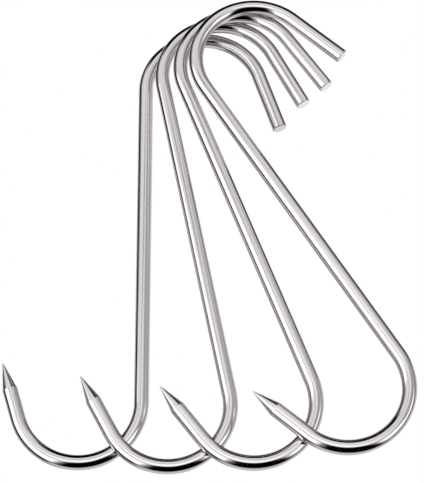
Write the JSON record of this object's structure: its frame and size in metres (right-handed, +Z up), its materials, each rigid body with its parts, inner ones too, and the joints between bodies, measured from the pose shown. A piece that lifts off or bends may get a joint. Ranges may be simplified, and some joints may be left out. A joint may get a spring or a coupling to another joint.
{
  "type": "meat hook",
  "caption": "S-shaped meat hooks of round stainless rod, fanned on a rail line. Upper crook with a square-cut tail, long straight shank, and a lower crook with a sharp ground point.",
  "frame": {"origin": "on the rail line, midway along the stack of hooks, in the space that every upper crook encloses", "axes": "+Z up, against gravity; +Y along the rail line, with hook_1 farthest along +Y; the hooks lie in planes across Y, and the tails point to +X and the points to -X"},
  "size_m": [0.2561, 0.0388, 0.3199],
  "materials": {
    "stainless_rod": "polished stainless steel with fine drawing lines along the rod"
  },
  "bodies": {
    "hook_1": {"hook_1": "stainless_rod"},
    "hook_2": {"hook_2": "stainless_rod"},
    "hook_3": {"hook_3": "stainless_rod"},
    "hook_4": {"hook_4": "stainless_rod"}
  },
  "joints": [
    {"name": "hook_2_swing", "type": "hinge", "parent": "hook_1", "child": "hook_2", "pos_m": [0, 0, 0], "axis": [0, -1, 0], "range_deg": [-70.8, 49.2]},
    {"name": "hook_3_swing", "type": "hinge", "parent": "hook_1", "child": "hook_3", "pos_m": [0, 0, 0], "axis": [0, -1, 0], "range_deg": [-80.8, 39.2]},
    {"name": "hook_4_swing", "type": "hinge", "parent": "hook_1", "child": "hook_4", "pos_m": [0, 0, 0], "axis": [0, -1, 0], "range_deg": [-92.4, 27.6]}
  ]
}
